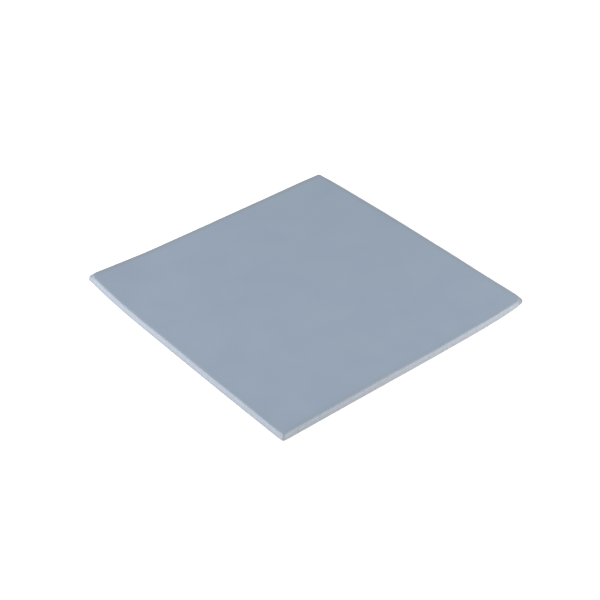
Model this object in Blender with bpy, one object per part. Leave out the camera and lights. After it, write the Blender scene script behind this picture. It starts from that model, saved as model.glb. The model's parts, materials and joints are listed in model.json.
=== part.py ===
"""Thermal pad: one square sheet of soft, ceramic-filled silicone, cut to size and lying on a level surface.

The origin is the centre of the underside, the sheet's sides run along X and Y, and +Z is up.
The sheet is one solid. Its long side faces are knife cuts, its top rim is pulled down into a soft
rounding, and two opposite corners have curled a little way up off the surface.
"""

import math

import bmesh
import bpy
from mathutils import Vector

# Sheet
SHEET_LENGTH = 0.100  # along X
SHEET_WIDTH = 0.100  # along Y
SHEET_THICKNESS = 0.0028

# Rounding in plan of each cut corner
LEFT_CORNER_RADIUS = 0.0007
FRONT_CORNER_RADIUS = 0.0013
RIGHT_CORNER_RADIUS = 0.0009
BACK_CORNER_RADIUS = 0.0010

# Rounding of the rims, where the cut faces meet the two broad faces
TOP_RIM_RADIUS = 0.00045
BOTTOM_RIM_RADIUS = 0.00020

# Curl of two corners: how high the tip comes, and how far along the diagonal the bend starts
LEFT_CURL_RISE = 0.0014
LEFT_CURL_REACH = 0.022
RIGHT_CURL_RISE = 0.0006
RIGHT_CURL_REACH = 0.018

# Fineness of the round stretches
CORNER_STEPS = 6
TOP_RIM_STEPS = 4
BOTTOM_RIM_STEPS = 2
CURL_STEPS = 8

# Silicone filled with ceramic powder
SILICONE_COLOUR = (0.31, 0.37, 0.46, 1.0)
SILICONE_ROUGHNESS = 0.6

# Each corner's sides along X and Y, as seen from the sheet's centre
LEFT = (-1, -1)
FRONT = (1, -1)
RIGHT = (1, 1)
BACK = (-1, 1)

CORNER_RADII = {
    LEFT: LEFT_CORNER_RADIUS,
    FRONT: FRONT_CORNER_RADIUS,
    RIGHT: RIGHT_CORNER_RADIUS,
    BACK: BACK_CORNER_RADIUS,
}
CURLS = {
    LEFT: (LEFT_CURL_RISE, LEFT_CURL_REACH),
    RIGHT: (RIGHT_CURL_RISE, RIGHT_CURL_REACH),
}

SAME_PLACE = 1e-6


def clear_scene():
    for old in list(bpy.data.objects):
        bpy.data.objects.remove(old)


def corner_tip(sides):
    """Where the sheet's two cut lines would meet, before the corner is rounded."""
    return Vector((sides[0] * SHEET_LENGTH / 2, sides[1] * SHEET_WIDTH / 2))


def inward(sides):
    """The direction from a corner into the sheet, half way between its two cut lines."""
    return Vector((-sides[0], -sides[1])).normalized()


def flat_blank():
    """The sheet as a plain block on the surface, with its underside at the origin's height."""
    bm = bmesh.new()
    bmesh.ops.create_cube(bm, size=1.0)
    bmesh.ops.scale(bm, vec=(SHEET_LENGTH, SHEET_WIDTH, SHEET_THICKNESS), verts=bm.verts)
    bmesh.ops.translate(bm, vec=(0, 0, SHEET_THICKNESS / 2), verts=bm.verts)
    return bm


def bevel(bm, edges, radius, steps):
    bmesh.ops.bevel(
        bm,
        geom=edges,
        offset=radius,
        segments=steps,
        profile=0.5,
        affect="EDGES",
        material=-1,
    )


def round_corners(bm):
    for sides, radius in CORNER_RADII.items():
        tip = corner_tip(sides)
        upright = [
            edge
            for edge in bm.edges
            if all((vert.co.xy - tip).length < SAME_PLACE for vert in edge.verts)
        ]
        bevel(bm, upright, radius, CORNER_STEPS)


def rim_edges(bm, height):
    """The outline of the broad face at this height."""
    return [
        edge
        for edge in bm.edges
        if all(abs(vert.co.z - height) < SAME_PLACE for vert in edge.verts)
    ]


def round_rims(bm):
    bevel(bm, rim_edges(bm, SHEET_THICKNESS), TOP_RIM_RADIUS, TOP_RIM_STEPS)
    bevel(bm, rim_edges(bm, 0), BOTTOM_RIM_RADIUS, BOTTOM_RIM_STEPS)


def cut_bend_lines(bm, sides, reach):
    """Lines square to the corner's diagonal, so that each strip between two of them stays flat."""
    direction = inward(sides).to_3d()
    tip = corner_tip(sides).to_3d()
    for step in range(1, CURL_STEPS + 1):
        bmesh.ops.bisect_plane(
            bm,
            geom=bm.verts[:] + bm.edges[:] + bm.faces[:],
            plane_co=tip + direction * reach * step / CURL_STEPS,
            plane_no=direction,
        )


def curl_corner(bm, sides, rise, reach):
    """Bends the corner up along a parabola, and keeps the sheet's thickness square to the bend."""
    direction = inward(sides)
    tip = corner_tip(sides)
    for vert in bm.verts:
        past_bend = reach - (vert.co.xy - tip).dot(direction)
        if past_bend <= 0:
            continue
        tilt = math.atan(2 * rise * past_bend / reach**2)
        height = vert.co.z
        vert.co.xy += direction * height * math.sin(tilt)
        vert.co.z = rise * (past_bend / reach) ** 2 + height * math.cos(tilt)


def silicone():
    material = bpy.data.materials.new("filled_silicone")
    material.use_nodes = True
    shader = material.node_tree.nodes["Principled BSDF"]
    shader.inputs["Base Color"].default_value = SILICONE_COLOUR
    shader.inputs["Roughness"].default_value = SILICONE_ROUGHNESS
    shader.inputs["Metallic"].default_value = 0.0
    return material


def pad_sheet():
    bm = flat_blank()
    round_corners(bm)
    round_rims(bm)
    for sides, (rise, reach) in CURLS.items():
        cut_bend_lines(bm, sides, reach)
        curl_corner(bm, sides, rise, reach)
    bmesh.ops.recalc_face_normals(bm, faces=bm.faces)
    mesh = bpy.data.meshes.new("pad_sheet")
    bm.to_mesh(mesh)
    bm.free()
    mesh.shade_smooth()
    mesh.set_sharp_from_angle(angle=math.radians(30))
    mesh.materials.append(silicone())
    sheet = bpy.data.objects.new("pad_sheet", mesh)
    bpy.context.scene.collection.objects.link(sheet)
    return sheet


clear_scene()
pad_sheet()
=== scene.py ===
"""Dresses the thermal pad: a sheet of soft, filled silicone with knife-cut sides, and its studio stage.

Lengths are in metres, and angles in radians unless their name ends in degrees. The sheet's underside lies
at z = 0, and its sides run along X and Y. Its corners are named as the camera sees them: left (-X -Y),
front (+X -Y), right (+X +Y) and back (-X +Y).
"""

import json
import math

import bmesh
import bpy
from bpy.props import FloatProperty, FloatVectorProperty, IntProperty, PointerProperty
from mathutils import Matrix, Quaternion, Vector, noise


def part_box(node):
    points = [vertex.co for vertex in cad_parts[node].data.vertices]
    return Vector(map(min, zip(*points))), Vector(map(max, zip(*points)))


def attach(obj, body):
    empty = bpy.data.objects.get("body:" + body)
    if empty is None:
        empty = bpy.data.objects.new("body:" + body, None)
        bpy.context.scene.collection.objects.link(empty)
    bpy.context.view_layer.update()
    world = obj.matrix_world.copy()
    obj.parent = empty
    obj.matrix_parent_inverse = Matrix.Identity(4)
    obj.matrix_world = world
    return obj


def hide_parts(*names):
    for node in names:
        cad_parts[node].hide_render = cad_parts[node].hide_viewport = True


bl_info = {
    "name": "Thermal pad sheet",
    "version": (1, 0, 0),
    "blender": (4, 5, 0),
    "location": "3D View > Sidebar > Thermal pad",
    "description": "Makes a soft silicone thermal pad with knife-cut sides, and a plain studio stage",
    "category": "Add Mesh",
}

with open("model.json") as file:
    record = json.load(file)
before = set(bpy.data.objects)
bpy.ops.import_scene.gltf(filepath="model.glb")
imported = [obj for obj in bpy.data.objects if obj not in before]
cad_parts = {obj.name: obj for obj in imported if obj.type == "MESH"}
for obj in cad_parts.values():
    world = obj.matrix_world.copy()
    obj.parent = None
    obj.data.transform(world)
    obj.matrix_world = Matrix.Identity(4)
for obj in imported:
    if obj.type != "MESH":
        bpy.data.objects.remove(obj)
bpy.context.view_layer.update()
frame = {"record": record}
BOX_LOW, BOX_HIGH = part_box("pad_sheet")
MOUNT_HEIGHTS = {mount["name"]: mount["pos_m"][2] for mount in frame["record"]["mounts"]}

# Which side of the sheet's centre each corner is on, along X and Y
LEFT = (-1, -1)
FRONT = (1, -1)
RIGHT = (1, 1)
BACK = (-1, 1)

# Two points closer than this are one
SAME_PLACE = 1e-6

# How finely the round stretches are divided
CORNER_STEPS_LEAST = 6
TOP_RIM_STEPS = 6
BOTTOM_RIM_STEPS = 3

# Where the broad faces' lines run, in shoulder spans in from the rim: close ones, then the even ones
CLOSE_LINES = (0.2, 0.5, 0.9)
EVEN_LINES_START = 1.5

# How far in from the side the knife's path is felt, in shoulder spans
KNIFE_REACH = 4

# How quickly the knife's marks come in from the rim to the cut, and the painted shade on the curled tips from
# its far end and foot
CUT_ONSET = 1.5
TIP_SHADE_FALL = 1.3
TIP_SHADE_ONSET = 1.5

# Which stretch of noise the drag marks use, and how rough those marks and the slow waves are
DRAG_START = (7, 3)
DRAG_DIMENSION = 0.6
SWELL_DIMENSION = 0.8
LACUNARITY = 2.0
OCTAVES = 3

# The filler that shows in the skin and in the cut: its sizes, how much of the surface has grains of powder,
# and how strongly they show
SKIN_FILLER = {"patch_size": 0.011, "grain_size": 0.00022, "powder_size": 0.0005, "powder_share": 0.05}
CUT_FILLER = {"patch_size": 0.004, "grain_size": 0.00018, "powder_size": 0.0003, "powder_share": 0.16}
SKIN_POWDER = 0.10
CUT_POWDER = 0.25

# The values that noise mostly takes, and how far from its middle a powder grain is gone and is whole
NOISE_RANGE = (0.3, 0.7)
POWDER_FADE = (0.45, 0.25)

# How much the fine grain lowers and raises the roughness
SKIN_GRAIN = (0.04, 0.05)
CUT_GRAIN = (0.06, 0.08)

# Streaks dragged down the cut: how many to a metre, how far they are drawn out, and how much they pale the
# cut at its foot and from a height of STREAK_TOP up
STREAKS = 2200.0
STREAK_DRAW = (1.0, 1.0, 0.14)
STREAK_TOP = 0.9
STREAK_SHARES = (0.5, 0.9)

# Height, 0 to 1, below which painted shade darkens the cut towards its foot
FOOT_SHADE_TOP = 0.45

# Bumps too fine for the mesh: how many ripples to a metre, their heights, and how strong the finest are
RIPPLES = 600.0
RIPPLE_HEIGHT = 0.00001
MARK_HEIGHT = 0.00002
GRAIN_HEIGHT = 0.000006
FINE_BUMP = 0.6

SILICONE_IOR = 1.41
WHITE = (1.0, 1.0, 1.0, 1.0)
FLOOR_REACH = 4.0

# Softboxes, each with its turn from the camera
LEFT_SOFTBOX = {
    "size": 0.35, "turn_degrees": -80, "elevation_degrees": 20, "distance": 0.55, "tint": (0.97, 0.98, 1.0)
}
RIGHT_SOFTBOX = {
    "size": 0.22, "turn_degrees": 80, "elevation_degrees": 10, "distance": 0.35, "tint": (1.0, 0.98, 0.95)
}


def length(name, description, default):
    return FloatProperty(name=name, description=description, default=default, precision=5, unit="LENGTH")


def number(name, description, default):
    return FloatProperty(name=name, description=description, default=default, precision=3)


def angle(name, description, degrees):
    return FloatProperty(name=name, description=description, default=math.radians(degrees), subtype="ANGLE")


def colour(name, description, default):
    return FloatVectorProperty(
        name=name, description=description, default=default, size=3, min=0, max=1, subtype="COLOR"
    )


class SheetSizes(bpy.types.PropertyGroup):
    side_x: length("Side along X", "Length of the sheet", BOX_HIGH.x - BOX_LOW.x)
    side_y: length("Side along Y", "Width of the sheet", BOX_HIGH.y - BOX_LOW.y)
    thickness: length("Thickness", "Height of the flat sheet", MOUNT_HEIGHTS["upper_face"])
    left_radius: length("Left corner", "Rounding of the left corner in plan", 0.0008)
    front_radius: length("Front corner", "Rounding of the front corner in plan", 0.0007)
    right_radius: length("Right corner", "Rounding of the right corner in plan", 0.0011)
    back_radius: length("Back corner", "Rounding of the back corner in plan", 0.0010)
    top_rim: length("Top rim", "Rounding where the knife pulled the upper skin down", 0.0006)
    bottom_rim: length("Bottom rim", "Rounding where the knife left the lower skin", 0.0002)
    left_rise: length("Left curl", "How high the left corner's tip comes", 0.0015)
    left_reach: length("Left bend", "How far in from the left tip the bend starts", 0.022)
    right_rise: length("Right curl", "How high the right corner's tip comes", 0.0005)
    right_reach: length("Right bend", "How far in from the right tip the bend starts", 0.018)
    left_upper_wear: length("Left upper wear", "How far the left tip's upper edge is worn back", 0.0014)
    right_upper_wear: length("Right upper wear", "How far the right tip's upper edge is worn back", 0.0011)
    right_lower_wear: length("Right lower wear", "How far the right tip's lower edge is worn back", 0.0006)
    front_lower_wear: length("Front lower wear", "How far the front tip's lower edge is worn back", 0.00014)
    front_twist: length("Front twist", "How far the front tip's upper edge is dragged to the right", 0.00025)
    wear_reach: length("Wear reach", "How far in from a corner its wear is felt", 0.0025)
    left_pinch: number("Left pinch", "Share of its thickness that the left tip loses", 0.08)
    right_pinch: number("Right pinch", "Share of its thickness that the right tip loses", 0.16)
    pinch_reach: length("Pinch reach", "How far in from the tip a pinch is felt", 0.008)
    left_taper: length("Left taper", "How far the sides beside the left tip turn in", 0.00022)
    right_taper: length("Right taper", "How far the sides beside the right tip turn in", 0.00020)
    taper_reach: length("Taper reach", "How far in from the tip a taper is felt", 0.012)


class KnifePath(bpy.types.PropertyGroup):
    """How each cut strays from a straight line: a bow to one side, and a sway to one and then the other."""

    front_left_bow: length("Front left bow", "How far the middle of the -Y side stands out", 0.00012)
    front_left_sway: length("Front left sway", "How far the -Y side swings out, then in, along X", 0.0)
    front_right_bow: length("Front right bow", "How far the middle of the +X side stands out", 0.00034)
    front_right_sway: length("Front right sway", "How far the +X side swings out, then in, along Y", -0.0002)
    back_right_bow: length("Back right bow", "How far the middle of the +Y side stands out", 0.00074)
    back_right_sway: length("Back right sway", "How far the +Y side swings out, then in, along X", 0.0001)
    back_left_bow: length("Back left bow", "How far the middle of the -X side stands out", -0.00018)
    back_left_sway: length("Back left sway", "How far the -X side swings out, then in, along Y", -0.00016)


class SheetRelief(bpy.types.PropertyGroup):
    pitch: length("Pitch", "Distance between the lines of the two broad faces", 0.001)
    column: length("Column", "Width of the narrow faces round the cut sides", 0.00025)
    rows: IntProperty(name="Rows", description="Faces from top to bottom of a cut side", default=9, min=2)
    swell: length("Swell", "Height of the slow waves in the skins", 0.00004)
    swell_span: length("Swell span", "Width of the slow waves in the skins", 0.014)
    wander: length("Wander", "How far the knife shook to either side of its path", 0.00012)
    wander_span: length("Wander span", "Length of one shake of the knife", 0.032)
    wander_start: number("Wander start", "Which stretch of the knife's shakes is used", 143.0)
    lean: length("Lean", "How far the cut's upper edge comes before or behind its lower edge", 0.00029)
    lean_span: length("Lean span", "Length over which that lean changes", 0.022)
    lean_start: number("Lean start", "Which stretch of the lean's changes is used", 108.5)
    front_lean: length("Front lean", "How far the upper edges of the two front cuts lean out", 0.00018)
    drag: length("Drag", "Depth of the marks that the knife dragged down the cut", 0.00005)
    drag_span: length("Drag span", "Distance between those marks", 0.0009)
    drag_slant: number("Drag slant", "How far the marks lean as they go down", 0.35)
    hollow: length("Hollow", "How far the middle of the cut springs back", 0.00006)
    foot: length("Foot", "How far the cuts' lower edges stand out, but for the +X side's", 0.00009)
    right_foot: length("Right foot", "How far the +X cut's lower edge stands out", 0.00014)
    shoulder: length("Shoulder", "How far the upper skin sinks towards its rim", 0.00012)
    shoulder_span: length("Shoulder span", "How far in from the side that sinking starts", 0.0016)
    # Painted light along the cut's lower edge, strongest on the +X side: the height up to which it comes, and
    # its share on the other sides
    lip_light_height: number("Lip height", "Height, 0 to 1, up to which the cut's lower lip comes", 0.26)
    left_lip_light: number("Left lip", "Share of the lip that shows on all sides but the +X one", 0.2)
    # Painted shade on the skin along its rims: how far in it reaches, and how strong it is on each side,
    # strongest on the two far sides
    rim_shade_span: length("Handled span", "How far in from the side the skin was handled", 0.0028)
    front_rim_shade: number("Front handled", "How much handling shows along the two front sides", 0.3)
    back_left_rim_shade: number("Back left handled", "How much handling shows along the back left side", 1.0)
    back_right_rim_shade: number("Back right handled", "How much handling shows along the back right side", 0.6)
    # Painted shade on the cut sides of the two curled tips: how far from each tip it reaches, and the height
    # below which it is gone
    left_tip_shade_reach: length("Left stain reach", "How far from the left tip its stain reaches", 0.0045)
    right_tip_shade_reach: length("Right stain reach", "How far from the right tip its stain reaches", 0.0055)
    left_tip_shade_foot: number("Left stain foot", "Height, 0 to 1, below which the left tip is clean", 0.45)
    right_tip_shade_foot: number("Right stain foot", "Height, 0 to 1, below which the right tip is clean", 0.08)
    skin_tilt: number("Skin tilt", "Upward lie of the rim, 0 to 1, where the skin begins to give way", 1.0)
    cut_tilt: number("Cut tilt", "Upward lie of the rim, 0 to 1, where the cut begins", 0.10)


class SheetColours(bpy.types.PropertyGroup):
    skin: colour("Skin", "Colour of the two broad faces", (0.294, 0.364, 0.461))
    skin_pale: colour("Pale skin", "Where the skin has more powder at its surface", (0.310, 0.379, 0.473))
    # Painted shade: the darker, greyer skin along its rims
    skin_rim_shade: colour("Skin rim", "Colour of the skin along its rims", (0.291, 0.315, 0.325))
    cut: colour("Cut", "Colour of the cut sides", (0.283, 0.313, 0.362))
    cut_pale: colour("Pale cut", "Where the knife tore it rougher and paler", (0.331, 0.360, 0.403))
    # Painted shade: the darker, greyer cut sides towards the floor
    cut_foot_shade: colour("Cut foot", "Colour of the cut sides near the lower skin", (0.268, 0.285, 0.303))
    # Painted light: a pale band along the cut's lower edge
    cut_lip_light: colour("Cut lip", "Where the knife pressed the lower edge down", (0.410, 0.430, 0.450))
    # Painted shade: the darker colour of the two curled tips' cut sides
    tip_shade: colour("Stain", "Colour of the two curled tips where they were handled", (0.230, 0.245, 0.265))
    powder: colour("Powder", "Grains of ceramic powder at the surface", (0.60, 0.62, 0.65))
    skin_roughness: number("Skin roughness", "Roughness of the two broad faces", 0.55)
    cut_roughness: number("Cut roughness", "Roughness of the cut sides", 0.78)


class Studio(bpy.types.PropertyGroup):
    azimuth: angle("Azimuth", "Camera's turn round the sheet", 50.021)
    elevation: angle("Elevation", "Camera's height above the surface", 36.614)
    roll: angle("Roll", "How far the camera is turned clockwise", 0.187)
    distance: length("Distance", "From the camera to the point that it looks at", 0.44632)
    target_x: length("Target X", "Point on the surface that the camera looks at", 0.00145)
    target_y: length("Target Y", "Point on the surface that the camera looks at", -0.00293)
    focal_length: number("Focal length", "Camera's focal length in millimetres", 83.39)
    left_light: number("Left light", "Power in watts of the soft light on the camera's left", 3.10)
    right_light: number("Right light", "Power in watts of the soft light on the camera's right", 1.24)
    horizon: number("Horizon", "Brightness of the studio's walls", 0.80)
    zenith: number("Zenith", "Brightness of the studio's ceiling", 0.35)
    floor: colour("Floor", "Colour of the table", (0.93, 0.93, 0.93))
    floor_glow: number("Floor glow", "Light that comes through the table from below", 0.425)


# Sheet


def corners(sizes):
    """Each corner's sides, rounding, rise and reach of its curl. A corner that lies flat has no rise."""
    return [
        (LEFT, sizes.left_radius, sizes.left_rise, sizes.left_reach),
        (FRONT, sizes.front_radius, 0, 0),
        (RIGHT, sizes.right_radius, sizes.right_rise, sizes.right_reach),
        (BACK, sizes.back_radius, 0, 0),
    ]


def corner_tip(sizes, sides):
    """Where the sheet's two cut lines would meet, before the corner is rounded."""
    return Vector((sides[0] * sizes.side_x / 2, sides[1] * sizes.side_y / 2))


def plain_block(sizes):
    bm = bmesh.new()
    bmesh.ops.create_cube(bm, size=1.0)
    bmesh.ops.scale(bm, vec=(sizes.side_x, sizes.side_y, sizes.thickness), verts=bm.verts)
    bmesh.ops.translate(bm, vec=(0, 0, sizes.thickness / 2), verts=bm.verts)
    return bm


def bevel(bm, edges, radius, steps):
    bmesh.ops.bevel(
        bm, geom=edges, offset=radius, segments=steps, profile=0.5, affect="EDGES", material=-1
    )


def round_corners(bm, sizes, relief):
    for sides, radius, _, _ in corners(sizes):
        tip = corner_tip(sizes, sides)
        upright = [
            edge for edge in bm.edges
            if all((vert.co.xy - tip).length < SAME_PLACE for vert in edge.verts)
        ]
        bevel(bm, upright, radius, max(CORNER_STEPS_LEAST, round(radius * math.pi / 2 / relief.column)))


def round_rims(bm, sizes):
    for height, radius, steps in (
        (sizes.thickness, sizes.top_rim, TOP_RIM_STEPS),
        (0, sizes.bottom_rim, BOTTOM_RIM_STEPS),
    ):
        rim = [
            edge for edge in bm.edges
            if all(abs(vert.co.z - height) < SAME_PLACE for vert in edge.verts)
        ]
        bevel(bm, rim, radius, steps)


def slice_at(bm, axis, place):
    """Cuts every face that crosses this place along the axis."""
    point = Vector((0, 0, 0))
    normal = Vector((0, 0, 0))
    point[axis] = place
    normal[axis] = 1
    bmesh.ops.bisect_plane(
        bm, geom=bm.verts[:] + bm.edges[:] + bm.faces[:], dist=SAME_PLACE, plane_co=point, plane_no=normal
    )


def slice_rows(bm, sizes, relief):
    low = sizes.bottom_rim
    high = sizes.thickness - sizes.top_rim
    for row in range(1, relief.rows):
        slice_at(bm, 2, low + (high - low) * row / relief.rows)


def slice_broad_faces(bm, sizes, relief):
    """Lines across the sheet, closer together where the upper skin sinks towards its rim."""
    for axis, side in ((0, sizes.side_x), (1, sizes.side_y)):
        edge = side / 2 - sizes.top_rim
        close = [edge - relief.shoulder_span * share for share in CLOSE_LINES]
        inner = edge - relief.shoulder_span * EVEN_LINES_START
        count = max(1, round(2 * inner / relief.pitch))
        even = [inner - 2 * inner * line / count for line in range(count + 1)]
        for place in close + [-place for place in close] + even:
            slice_at(bm, axis, place)


def depth_and_outward(sizes, point):
    """How far this point is outside the sheet's outline, and the direction of the nearest way out.

    The depth is negative inside. Both are those of a rectangle with four rounded corners.
    """
    sides = (1 if point.x >= 0 else -1, 1 if point.y >= 0 else -1)
    radius = next(radius for each, radius, _, _ in corners(sizes) if each == sides)
    past = Vector((
        abs(point.x) - sizes.side_x / 2 + radius,
        abs(point.y) - sizes.side_y / 2 + radius,
    ))
    if past.x > 0 and past.y > 0:
        depth = past.length - radius
        way = past.normalized()
    else:
        depth = max(past) - radius
        way = Vector((1, 0)) if past.x > past.y else Vector((0, 1))
    return depth, Vector((way.x * sides[0], way.y * sides[1]))


def split_columns(bm, sizes, relief):
    """Divides the faces round the cut sides into narrow columns."""
    runs = []
    for edge in bm.edges:
        first, second = edge.verts
        level = abs(first.co.z - second.co.z) < SAME_PLACE
        outside = all(
            depth_and_outward(sizes, vert.co)[0] > -sizes.top_rim - SAME_PLACE for vert in edge.verts
        )
        if level and outside and edge.calc_length() > 2 * relief.column:
            runs.append(edge)
    cuts = round(relief.pitch / relief.column) - 1
    bmesh.ops.subdivide_edges(bm, edges=runs, cuts=cuts, use_grid_fill=True)


def ease(value):
    """Goes smoothly from 0 to 1 as the value does."""
    value = min(max(value, 0), 1)
    return value * value * (3 - 2 * value)


def backwardness(outward):
    """How much a side faces the back: 0 for the front two, 1 for the back two, and a half at the tips."""
    return ease(0.5 + outward.dot(Vector(BACK)))


def rightwardness(outward):
    """How much a side faces +X: 1 for the front right side, and 0 for the other three."""
    return ease(2 * outward.x)


def mix(first, second, share):
    return first + (second - first) * share


def tip_shade_at(sizes, relief, point):
    """How strongly painted shade darkens this point: most at the ends of the two curled tips."""
    tip_shades = (
        (LEFT, relief.left_tip_shade_reach, relief.left_tip_shade_foot),
        (RIGHT, relief.right_tip_shade_reach, relief.right_tip_shade_foot),
    )
    strongest = 0
    for sides, reach, foot in tip_shades:
        from_tip = (point.xy - corner_tip(sizes, sides)).length
        above_foot = (point.z / sizes.thickness - foot) / (1 - foot)
        near_tip = ease(TIP_SHADE_FALL - TIP_SHADE_FALL * from_tip / reach)
        strongest = max(strongest, near_tip * ease(TIP_SHADE_ONSET * above_foot))
    return strongest


def note_surface(bm, sizes, relief):
    """Marks each point for its colour.

    The marks say how high it lies, how much it belongs to the cut, how much painted light falls on the cut's
    lower lip, how much painted shade falls on the skin beside the cut, and how much on the curled tips.
    """
    height = bm.verts.layers.float.new("cut_height")
    share = bm.verts.layers.float.new("cut_share")
    rim_shade_mask = bm.verts.layers.float.new("painted_rim_shade")
    lip_light = bm.verts.layers.float.new("cut_lip_light")
    tip_shade = bm.verts.layers.float.new("painted_tip_shade")
    for vert in bm.verts:
        depth, outward = depth_and_outward(sizes, vert.co)
        # Painted shade along the skin's rims, strongest on the two far sides
        back_rim_shade = mix(relief.back_left_rim_shade, relief.back_right_rim_shade, ease(outward.y))
        shaded = mix(relief.front_rim_shade, back_rim_shade, backwardness(outward))
        vert[height] = vert.co.z / sizes.thickness
        vert[share] = ease((relief.skin_tilt - abs(vert.normal.z)) / (relief.skin_tilt - relief.cut_tilt))
        vert[rim_shade_mask] = shaded * ease(1 + depth / relief.rim_shade_span)
        # Painted light along the cut's lower edge, strongest on the +X side
        lip_light_share = mix(relief.left_lip_light, 1, rightwardness(outward))
        vert[lip_light] = lip_light_share * ease(1 - vert[height] / relief.lip_light_height)
        # Painted shade on the cut sides of the curled tips
        vert[tip_shade] = vert[share] * tip_shade_at(sizes, relief, vert.co)
    for face in bm.faces:
        face.smooth = True


def add_relief(bm, sizes, relief):
    """Moves the points a little: slow waves in the skins, and the knife's path and marks on the cuts."""
    moves = []
    for vert in bm.verts:
        point = vert.co.copy()
        depth, outward = depth_and_outward(sizes, point)
        height = point.z / sizes.thickness
        upright = 1 - abs(vert.normal.z)
        shakes = point.xy.to_3d() / relief.wander_span + Vector((0, 0, relief.wander_start))
        wander = relief.wander * noise.noise(shakes)
        changes = point.xy.to_3d() / relief.lean_span + Vector((0, 0, relief.lean_start))
        steady_lean = relief.front_lean * (1 - backwardness(outward))
        lean = (relief.lean * noise.noise(changes) + steady_lean) * height
        along = point.xy.to_3d() / relief.drag_span + Vector((*DRAG_START, relief.drag_slant * height))
        drag = relief.drag * noise.fractal(along, DRAG_DIMENSION, LACUNARITY, OCTAVES)
        foot = mix(relief.foot, relief.right_foot, rightwardness(outward))
        profile = foot * (1 - height) ** 3 - relief.hollow * math.sin(math.pi * min(height, 1)) ** 2
        near_side = ease(1 + depth / (KNIFE_REACH * relief.shoulder_span))
        sideways = (wander + lean) * near_side + (drag + profile) * ease(CUT_ONSET * upright)
        waves = noise.fractal(point / relief.swell_span, SWELL_DIMENSION, LACUNARITY, OCTAVES)
        swell = relief.swell * waves
        sunk = relief.shoulder * ease(1 + depth / relief.shoulder_span)
        if height > 0.5:
            lift = swell - sunk
        else:
            lift = 0
        moves.append((vert, outward.to_3d() * sideways + Vector((0, 0, lift * height))))
    for vert, move in moves:
        vert.co += move


def stray(bow, sway, share):
    """How far a side stands out at this share of its length. The bow is taken from the side's mean line."""
    return bow * (4 * share * (1 - share) - 2 / 3) + sway * math.sin(2 * math.pi * share)


def follow_knife(bm, sizes, path):
    """Draws the whole square out or in, so that each side follows the knife's path."""
    for vert in bm.verts:
        along_x = vert.co.x / sizes.side_x + 0.5
        along_y = vert.co.y / sizes.side_y + 0.5
        vert.co += Vector((
            stray(path.front_right_bow, path.front_right_sway, along_y) * along_x
            - stray(path.back_left_bow, path.back_left_sway, along_y) * (1 - along_x),
            stray(path.back_right_bow, path.back_right_sway, along_x) * along_y
            - stray(path.front_left_bow, path.front_left_sway, along_x) * (1 - along_y),
            0,
        ))


def wear_corner(bm, sizes, sides, upper=0, lower=0, pinch=0, taper=0, twist=0):
    """Wears a corner: each of these lengths or shares is one way in which it has changed shape.

    The upper and lower edges wear back, the tip is pinched thinner, the sides beside it turn in, and its
    upper edge is dragged along them, counter-clockwise as seen from above.
    """
    inward = Vector((-sides[0], -sides[1])).normalized()
    across = Vector((inward.y, -inward.x))
    tip = corner_tip(sizes, sides)
    for vert in bm.verts:
        from_tip = (vert.co.xy - tip).dot(inward)
        beside = (vert.co.xy - tip).dot(across) / max(from_tip, sizes.thickness / 2)
        above_middle = 2 * vert.co.z / sizes.thickness - 1
        worn = (upper if above_middle > 0 else lower) * above_middle**2
        near = ease(1 - from_tip / sizes.wear_reach)
        vert.co.xy += (inward * worn + across * twist * vert.co.z / sizes.thickness) * near
        vert.co.xy -= across * beside * taper * ease(1 - from_tip / sizes.taper_reach)
        vert.co.z += (sizes.thickness / 2 - vert.co.z) * pinch * ease(1 - from_tip / sizes.pinch_reach)


def curl_corner(bm, sizes, sides, rise, reach):
    """Bends the corner up along a parabola, and keeps the sheet's thickness square to the bend."""
    direction = Vector((-sides[0], -sides[1])).normalized()
    tip = corner_tip(sizes, sides)
    for vert in bm.verts:
        past_bend = reach - (vert.co.xy - tip).dot(direction)
        if past_bend <= 0:
            continue
        tilt = math.atan(2 * rise * past_bend / reach**2)
        height = vert.co.z
        vert.co.xy += direction * height * math.sin(tilt)
        vert.co.z = rise * (past_bend / reach) ** 2 + height * math.cos(tilt)


def sheet_mesh(sizes, path, relief):
    bm = plain_block(sizes)
    round_corners(bm, sizes, relief)
    round_rims(bm, sizes)
    slice_rows(bm, sizes, relief)
    slice_broad_faces(bm, sizes, relief)
    split_columns(bm, sizes, relief)
    bmesh.ops.recalc_face_normals(bm, faces=bm.faces)
    bm.normal_update()
    note_surface(bm, sizes, relief)
    add_relief(bm, sizes, relief)
    wear_corner(
        bm, sizes, LEFT, upper=sizes.left_upper_wear, pinch=sizes.left_pinch, taper=sizes.left_taper
    )
    wear_corner(bm, sizes, FRONT, lower=sizes.front_lower_wear, twist=sizes.front_twist)
    wear_corner(
        bm, sizes, RIGHT, upper=sizes.right_upper_wear, lower=sizes.right_lower_wear,
        pinch=sizes.right_pinch, taper=sizes.right_taper,
    )
    follow_knife(bm, sizes, path)
    for sides, _, rise, reach in corners(sizes):
        if rise > 0:
            curl_corner(bm, sizes, sides, rise, reach)
    mesh = bpy.data.meshes.new("silicone_sheet")
    bm.to_mesh(mesh)
    bm.free()
    return mesh


# Materials


def add_node(tree, kind, **settings):
    node = tree.nodes.new(kind)
    for name, value in settings.items():
        setattr(node, name, value)
    return node


def math_node(tree, operation, first, second):
    """A Math node whose inputs are links or plain numbers."""
    node = add_node(tree, "ShaderNodeMath", operation=operation)
    for socket, value in zip(node.inputs, (first, second)):
        feed(tree, socket, value)
    return node.outputs[0]


def feed(tree, socket, value):
    if isinstance(value, bpy.types.NodeSocket):
        tree.links.new(value, socket)
    else:
        socket.default_value = value


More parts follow.
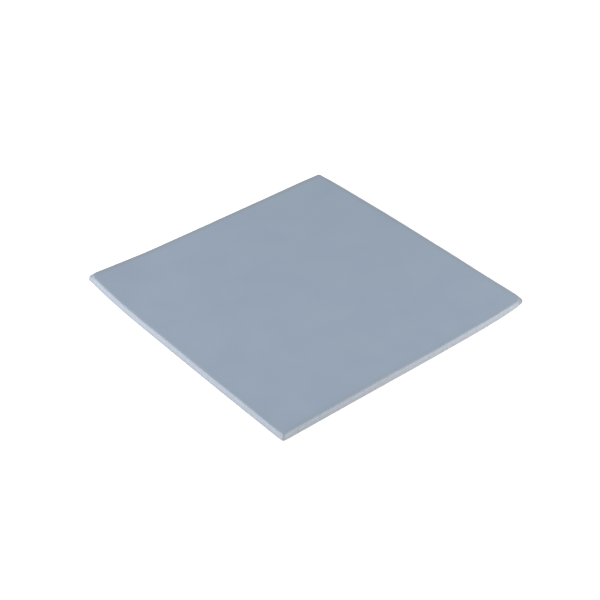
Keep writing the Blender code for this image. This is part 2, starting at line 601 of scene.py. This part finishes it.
def noise_node(tree, vector, scale, detail, roughness=0.5):
    node = add_node(tree, "ShaderNodeTexNoise")
    feed(tree, node.inputs["Vector"], vector)
    feed(tree, node.inputs["Scale"], scale)
    node.inputs["Detail"].default_value = detail
    node.inputs["Roughness"].default_value = roughness
    return node.outputs["Fac"]


def range_node(tree, value, low, high, to_low=0.0, to_high=1.0):
    node = add_node(tree, "ShaderNodeMapRange")
    feed(tree, node.inputs["Value"], value)
    for name, end in (("From Min", low), ("From Max", high), ("To Min", to_low), ("To Max", to_high)):
        feed(tree, node.inputs[name], end)
    return node.outputs["Result"]


def mix_node(tree, share, first, second, kind="RGBA"):
    """Mixes two colours, or two numbers where the kind is FLOAT."""
    node = add_node(tree, "ShaderNodeMix", data_type=kind)
    feed(tree, node.inputs["Factor"], share)
    feed(tree, node.inputs["A"], first)
    feed(tree, node.inputs["B"], second)
    return node.outputs["Result"]


def opaque(rgb):
    return (*rgb, 1.0)


def new_group(name, inputs, outputs):
    """A shader node group with these inputs, each with its default, and these float outputs."""
    group = bpy.data.node_groups.new(name, "ShaderNodeTree")
    for label, kind, default in inputs:
        socket = group.interface.new_socket(label, in_out="INPUT", socket_type=kind)
        if default is not None:
            socket.default_value = default
    for label in outputs:
        group.interface.new_socket(label, in_out="OUTPUT", socket_type="NodeSocketFloat")
    return group, group.nodes.new("NodeGroupInput"), group.nodes.new("NodeGroupOutput")


def filled_silicone_group():
    """Cloudy patches, fine grain and grains of powder, as any surface of the filled silicone shows them."""
    group, given, result = new_group(
        "filled_silicone",
        [
            ("Vector", "NodeSocketVector", None),
            ("Patch size", "NodeSocketFloat", 0.008),
            ("Grain size", "NodeSocketFloat", 0.00025),
            ("Powder size", "NodeSocketFloat", 0.00035),
            ("Powder share", "NodeSocketFloat", 0.1),
        ],
        ["Patches", "Grain", "Powder"],
    )
    vector = given.outputs["Vector"]
    patch_scale = math_node(group, "DIVIDE", 1.0, given.outputs["Patch size"])
    patches = noise_node(group, vector, patch_scale, detail=3.0)
    grain_scale = math_node(group, "DIVIDE", 1.0, given.outputs["Grain size"])
    grain = noise_node(group, vector, grain_scale, detail=2.0, roughness=0.6)
    powder = add_node(group, "ShaderNodeTexVoronoi", feature="F1")
    feed(group, powder.inputs["Vector"], vector)
    powder_scale = math_node(group, "DIVIDE", 1.0, given.outputs["Powder size"])
    feed(group, powder.inputs["Scale"], powder_scale)
    chosen = math_node(group, "LESS_THAN", powder.outputs["Color"], given.outputs["Powder share"])
    round_grain = range_node(group, powder.outputs["Distance"], *POWDER_FADE)
    feed(group, result.inputs["Patches"], range_node(group, patches, *NOISE_RANGE))
    feed(group, result.inputs["Grain"], range_node(group, grain, *NOISE_RANGE))
    feed(group, result.inputs["Powder"], math_node(group, "MULTIPLY", chosen, round_grain))
    return group


def new_material(name):
    material = bpy.data.materials.new(name)
    material.use_nodes = True
    shader = material.node_tree.nodes["Principled BSDF"]
    shader.inputs["Metallic"].default_value = 0.0
    shader.inputs["IOR"].default_value = SILICONE_IOR
    return material, material.node_tree, shader


def silicone_node(tree, group, vector, **sizes):
    node = add_node(tree, "ShaderNodeGroup", node_tree=group)
    feed(tree, node.inputs["Vector"], vector)
    for name, value in sizes.items():
        node.inputs[name.replace("_", " ").capitalize()].default_value = value
    return node.outputs


def bump(tree, height, distance, strength=1.0, below=None):
    node = add_node(tree, "ShaderNodeBump")
    feed(tree, node.inputs["Height"], height)
    node.inputs["Distance"].default_value = distance
    node.inputs["Strength"].default_value = strength
    if below is not None:
        tree.links.new(below, node.inputs["Normal"])
    return node.outputs["Normal"]


def attribute(tree, name):
    return add_node(tree, "ShaderNodeAttribute", attribute_name=name).outputs["Fac"]


def powder_over(tree, colour_below, silicone, share, colours):
    strength = math_node(tree, "MULTIPLY", silicone["Powder"], share)
    return mix_node(tree, strength, colour_below, opaque(colours.powder))


def grainy_roughness(tree, silicone, roughness, grain):
    smoother, rougher = grain
    return range_node(tree, silicone["Grain"], 0.0, 1.0, roughness - smoother, roughness + rougher)


def skin_look(tree, colours, group, place):
    """The cast skin: matte, faintly clouded, and a little greyer with painted shade along its rims beside the
    cut.
    """
    silicone = silicone_node(tree, group, place, **SKIN_FILLER)
    clouded = mix_node(tree, silicone["Patches"], opaque(colours.skin), opaque(colours.skin_pale))
    # Painted shade along the rims beside the cut
    shaded = mix_node(tree, attribute(tree, "painted_rim_shade"), clouded, opaque(colours.skin_rim_shade))
    powdered = powder_over(tree, shaded, silicone, SKIN_POWDER, colours)
    roughness = grainy_roughness(tree, silicone, colours.skin_roughness, SKIN_GRAIN)
    return powdered, roughness, silicone["Grain"]


def cut_look(tree, colours, group, place):
    """The knife-cut side: paler and rougher than the skin, with streaks, painted shade towards its foot and a
    band of painted light along its lower edge.
    """
    silicone = silicone_node(tree, group, place, **CUT_FILLER)
    upright = add_node(tree, "ShaderNodeMapping")
    upright.inputs["Scale"].default_value = STREAK_DRAW
    feed(tree, upright.inputs["Vector"], place)
    drawn_out = noise_node(tree, upright.outputs["Vector"], STREAKS, detail=3.0, roughness=0.6)
    streaks = range_node(tree, drawn_out, *NOISE_RANGE)
    height = attribute(tree, "cut_height")
    streak_share = range_node(tree, height, 0.0, STREAK_TOP, *STREAK_SHARES)
    torn = math_node(tree, "MULTIPLY", streaks, streak_share)
    faced = mix_node(tree, torn, opaque(colours.cut), opaque(colours.cut_pale))
    # Painted shade towards the cut's foot
    foot_shaded = mix_node(tree, range_node(tree, height, FOOT_SHADE_TOP, 0.0), faced, opaque(colours.cut_foot_shade))
    # Painted light along the cut's lower edge
    lip_lit = mix_node(tree, attribute(tree, "cut_lip_light"), foot_shaded, opaque(colours.cut_lip_light))
    powdered = powder_over(tree, lip_lit, silicone, CUT_POWDER, colours)
    roughness = grainy_roughness(tree, silicone, colours.cut_roughness, CUT_GRAIN)
    return powdered, roughness, streaks


def silicone_material(colours):
    """One silicone, with its skin's and cut's looks blended across the rims, and painted shade on its two
    curled tips.
    """
    material, tree, shader = new_material("filled_silicone")
    group = filled_silicone_group()
    place = add_node(tree, "ShaderNodeTexCoord").outputs["Object"]
    share = attribute(tree, "cut_share")
    skin_colour, skin_roughness, grain = skin_look(tree, colours, group, place)
    cut_colour, cut_roughness, streaks = cut_look(tree, colours, group, place)
    clean = mix_node(tree, share, skin_colour, cut_colour)
    # Painted shade on the two curled tips
    tip_shaded = mix_node(tree, attribute(tree, "painted_tip_shade"), clean, opaque(colours.tip_shade))
    feed(tree, shader.inputs["Base Color"], tip_shaded)
    roughness = mix_node(tree, share, skin_roughness, cut_roughness, "FLOAT")
    feed(tree, shader.inputs["Roughness"], roughness)
    ripple = bump(tree, noise_node(tree, place, RIPPLES, detail=2.0), RIPPLE_HEIGHT)
    marks = bump(tree, math_node(tree, "MULTIPLY", streaks, share), MARK_HEIGHT, FINE_BUMP, ripple)
    feed(tree, shader.inputs["Normal"], bump(tree, grain, GRAIN_HEIGHT, FINE_BUMP, marks))
    return material


class OBJECT_OT_silicone_sheet(bpy.types.Operator):
    """Makes the thermal pad's silicone sheet, with its two skins and its knife-cut sides"""

    bl_idname = "object.silicone_sheet"
    bl_label = "Silicone sheet"

    def execute(self, context):
        scene = context.scene
        mesh = sheet_mesh(scene.pad_sizes, scene.pad_path, scene.pad_relief)
        mesh.materials.append(silicone_material(scene.pad_colours))
        sheet = bpy.data.objects.new("silicone_sheet", mesh)
        scene.collection.objects.link(sheet)
        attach(sheet, "root")
        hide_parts("pad_sheet")
        return {"FINISHED"}


# Stage


def from_angles(azimuth, elevation):
    """The direction towards a camera or a light. At azimuth 0 it is on the -Y side and looks along +Y."""
    return Vector((
        math.sin(azimuth) * math.cos(elevation),
        -math.cos(azimuth) * math.cos(elevation),
        math.sin(elevation),
    ))


def place_facing(obj, target, direction, distance, roll=0):
    """Puts a camera or a light at this distance, turned to the target, and clockwise by the roll."""
    obj.location = target + direction * distance
    turn = direction.to_track_quat("Z", "Y") @ Quaternion((0, 0, 1), -roll)
    obj.rotation_euler = turn.to_euler()


def add_floor(studio):
    bm = bmesh.new()
    bmesh.ops.create_grid(bm, x_segments=1, y_segments=1, size=FLOOR_REACH)
    mesh = bpy.data.meshes.new("floor")
    bm.to_mesh(mesh)
    bm.free()
    material = bpy.data.materials.new("white_table")
    material.use_nodes = True
    shader = material.node_tree.nodes["Principled BSDF"]
    shader.inputs["Base Color"].default_value = opaque(studio.floor)
    shader.inputs["Roughness"].default_value = 1.0
    shader.inputs["Specular IOR Level"].default_value = 0.0
    shader.inputs["Emission Color"].default_value = WHITE
    shader.inputs["Emission Strength"].default_value = studio.floor_glow
    mesh.materials.append(material)
    floor = bpy.data.objects.new("floor", mesh)
    bpy.context.scene.collection.objects.link(floor)


def add_softbox(name, watts, camera_degrees, size, turn_degrees, elevation_degrees, distance, tint):
    lamp = bpy.data.lights.new(name, "AREA")
    lamp.shape = "SQUARE"
    lamp.size = size
    lamp.energy = watts
    lamp.color = tint
    box = bpy.data.objects.new(name, lamp)
    bpy.context.scene.collection.objects.link(box)
    direction = from_angles(math.radians(camera_degrees + turn_degrees), math.radians(elevation_degrees))
    place_facing(box, Vector((0, 0, 0)), direction, distance)


def light_walls(studio):
    """A pale room, bright towards its walls and dimmer towards its ceiling."""
    world = bpy.data.worlds.new("studio")
    bpy.context.scene.world = world
    world.use_nodes = True
    tree = world.node_tree
    direction = add_node(tree, "ShaderNodeTexCoord").outputs["Generated"]
    split = add_node(tree, "ShaderNodeSeparateXYZ")
    feed(tree, split.inputs["Vector"], direction)
    brightness = range_node(tree, split.outputs["Z"], 0.0, 1.0, studio.horizon, studio.zenith)
    feed(tree, tree.nodes["Background"].inputs["Strength"], brightness)
    tree.nodes["Background"].inputs["Color"].default_value = WHITE


def add_camera(studio):
    data = bpy.data.cameras.new("camera")
    data.lens = studio.focal_length
    data.clip_start = 0.01
    data.clip_end = 20
    camera = bpy.data.objects.new("camera", data)
    bpy.context.scene.collection.objects.link(camera)
    target = Vector((studio.target_x, studio.target_y, 0))
    direction = from_angles(studio.azimuth, studio.elevation)
    place_facing(camera, target, direction, studio.distance, studio.roll)
    bpy.context.scene.camera = camera


class SCENE_OT_pad_studio(bpy.types.Operator):
    """Makes the white table, the soft lights and the camera"""

    bl_idname = "scene.pad_studio"
    bl_label = "Studio"

    def execute(self, context):
        studio = context.scene.pad_studio
        camera_degrees = math.degrees(studio.azimuth)
        context.scene.view_settings.view_transform = "Standard"
        add_floor(studio)
        light_walls(studio)
        add_softbox("left_softbox", studio.left_light, camera_degrees, **LEFT_SOFTBOX)
        add_softbox("right_softbox", studio.right_light, camera_degrees, **RIGHT_SOFTBOX)
        add_camera(studio)
        return {"FINISHED"}


class VIEW3D_PT_thermal_pad(bpy.types.Panel):
    bl_label = "Thermal pad"
    bl_idname = "VIEW3D_PT_thermal_pad"
    bl_space_type = "VIEW_3D"
    bl_region_type = "UI"
    bl_category = "Thermal pad"

    def draw(self, context):
        for operator, groups in (
            (OBJECT_OT_silicone_sheet, ("pad_sizes", "pad_path", "pad_relief", "pad_colours")),
            (SCENE_OT_pad_studio, ("pad_studio",)),
        ):
            for name in groups:
                settings = getattr(context.scene, name)
                for setting in settings.bl_rna.properties.keys():
                    if setting in settings.__annotations__:
                        self.layout.prop(settings, setting)
            self.layout.operator(operator.bl_idname)


SETTINGS = {
    "pad_sizes": SheetSizes,
    "pad_path": KnifePath,
    "pad_relief": SheetRelief,
    "pad_colours": SheetColours,
    "pad_studio": Studio,
}
CLASSES = (*SETTINGS.values(), OBJECT_OT_silicone_sheet, SCENE_OT_pad_studio, VIEW3D_PT_thermal_pad)


def register():
    for each in CLASSES:
        bpy.utils.register_class(each)
    for name, group in SETTINGS.items():
        setattr(bpy.types.Scene, name, PointerProperty(type=group))


def unregister():
    for name in SETTINGS:
        delattr(bpy.types.Scene, name)
    for each in reversed(CLASSES):
        bpy.utils.unregister_class(each)


def main():
    register()
    bpy.ops.scene.pad_studio()
    bpy.ops.object.silicone_sheet()


if __name__ == "__main__":
    main()
